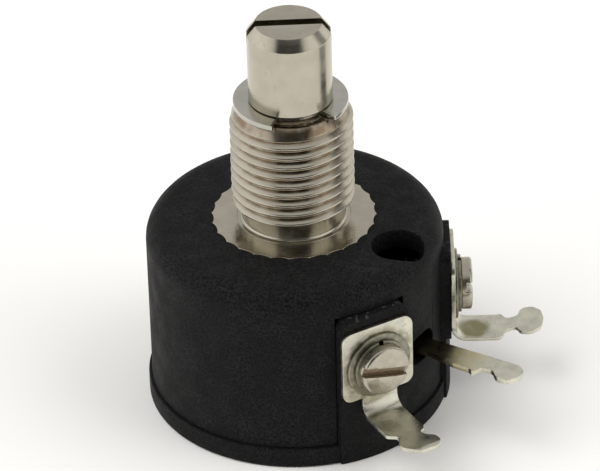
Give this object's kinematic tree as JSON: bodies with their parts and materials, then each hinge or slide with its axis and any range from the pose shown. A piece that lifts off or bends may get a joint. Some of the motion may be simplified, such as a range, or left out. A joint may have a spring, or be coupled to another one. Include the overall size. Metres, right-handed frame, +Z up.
{
  "type": "rotary potentiometer",
  "caption": "Single-turn wirewound rotary potentiometer: round black moulded body, threaded panel bushing, slotted shaft, solder lugs and screw terminals on one side",
  "frame": {"origin": "centre of the flat underside of the moulded base, on the shaft's axis", "axes": "+Z up along the shaft, out of the threaded bushing; +X outwards along the middle terminal; the end terminals lie at -30 and +30 degrees about +Z"},
  "size_m": [0.0294, 0.022, 0.0306],
  "materials": {
    "moulded_body": "fine-grained matt moulding",
    "plated_bushing": "satin nickel plate",
    "plated_shaft": "fine turned nickel plate",
    "clip_steel": "satin",
    "tinned_lug": "dull tin plate",
    "screw_steel": "nickel plate, lightly tarnished in the slot",
    "washer_steel": "satin",
    "nut_brass": "bare",
    "collector_brass": "polished by the wiper",
    "spring_bronze": "rolled",
    "brush_carbon": "sintered carbon",
    "laminate": "resin-bonded paper",
    "thrust_fibre": "plain",
    "resistance_wire": "close-wound oxidised wire"
  },
  "bodies": {
    "housing": {"cover": "moulded_body", "base": "moulded_body", "threaded_bushing": "plated_bushing", "middle_terminal": "tinned_lug", "end_terminal_1": "tinned_lug", "end_terminal_3": "tinned_lug", "terminal_screw_1": "screw_steel", "terminal_screw_3": "screw_steel", "flat_washer_1": "washer_steel", "flat_washer_3": "washer_steel", "lock_washer_1": "washer_steel", "lock_washer_3": "washer_steel", "square_nut_1": "nut_brass", "square_nut_3": "nut_brass", "collector_ring": "collector_brass", "collector_rivet": "collector_brass", "winding_former": "laminate", "resistance_winding": "resistance_wire"},
    "rotor": {"shaft": "plated_shaft", "retaining_clip": "clip_steel", "thrust_washer": "thrust_fibre", "rotor_hub": "laminate", "wiper_spring": "spring_bronze", "contact_brush": "brush_carbon"}
  },
  "joints": [
    {"name": "shaft_turn", "type": "hinge", "parent": "housing", "child": "rotor", "pos_m": [0, 0, 0.02], "axis": [0, 0, 1], "range_deg": [-150, 150]}
  ]
}
